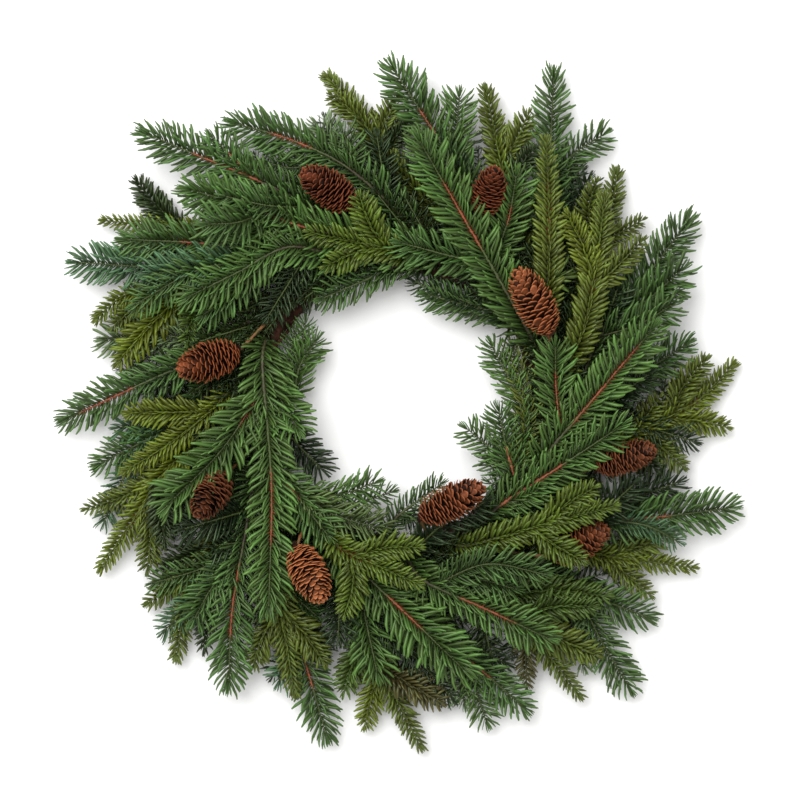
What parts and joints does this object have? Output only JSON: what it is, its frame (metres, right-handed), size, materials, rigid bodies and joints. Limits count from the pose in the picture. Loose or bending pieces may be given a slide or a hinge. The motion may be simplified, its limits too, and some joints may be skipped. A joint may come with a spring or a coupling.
{
  "type": "fresh evergreen wreath",
  "caption": "Round wreath of fir and short-needled spruce branches and pine cones, wired to a ring of twisted vines, for a door, a wall or a table.",
  "frame": {"origin": "centre of the vine ring, on the surface that the wreath lies on", "axes": "+Z out of the wreath's front, away from the surface it lies on; +Y towards the wreath's top; +X to the right as seen from the front"},
  "size_m": [0.6177, 0.6215, 0.0844],
  "materials": {
    "vine": "dark red-brown bark",
    "wire": "dark green enamel",
    "cone": "dry brown scales",
    "fir": "satin green needles on red-brown stems",
    "spruce": "satin olive-green needles on red-brown stems"
  },
  "bodies": {
    "root": {"vine_ring": "vine", "binding_wire": "wire", "cone_at_11": "cone", "cone_at_12": "cone", "cone_at_1": "cone", "cone_at_3": "cone", "cone_at_4": "cone", "cone_at_5": "cone", "cone_at_7": "cone", "cone_at_8": "cone", "cone_at_9": "cone", "fir_at_10_middle": "fir", "fir_at_11_middle": "fir", "spruce_at_10_back": "spruce", "fir_at_10_front": "fir", "fir_at_10_outer": "fir", "spruce_at_9_back": "spruce", "fir_at_10_inner": "fir", "spruce_at_11_back": "spruce", "fir_at_12_back": "fir", "fir_at_12_front": "fir", "spruce_at_1_back": "spruce", "fir_at_1_back": "fir", "fir_at_12_inner": "fir", "spruce_at_12_front": "spruce", "spruce_at_1_front": "spruce", "spruce_at_2_front": "spruce", "spruce_at_2_back": "spruce", "fir_at_2_back": "fir", "fir_at_3_front": "fir", "fir_at_3_back": "fir", "spruce_at_3_back": "spruce", "fir_at_4_outer": "fir", "fir_at_4_front": "fir", "spruce_at_4_front": "spruce", "spruce_at_4_back": "spruce", "fir_at_5_back": "fir", "spruce_at_5_back": "spruce", "fir_at_5_front": "fir", "fir_at_5_outer": "fir", "fir_at_6_front": "fir", "spruce_at_6_front": "spruce", "fir_at_6_middle": "fir", "spruce_at_6_back": "spruce", "fir_at_7_back": "fir", "spruce_at_7_middle": "spruce", "fir_at_7_middle": "fir", "fir_at_8_front": "fir", "fir_at_9_outer": "fir", "spruce_at_8_front": "spruce", "fir_at_8_back": "fir", "spruce_at_8_outer": "spruce", "spruce_at_7_back": "spruce", "fir_inside_11": "fir", "fir_inside_1": "fir", "fir_inside_9": "fir", "fir_inside_8": "fir", "fir_inside_7": "fir", "fir_inside_4": "fir", "fir_inside_6": "fir"}
  },
  "joints": []
}
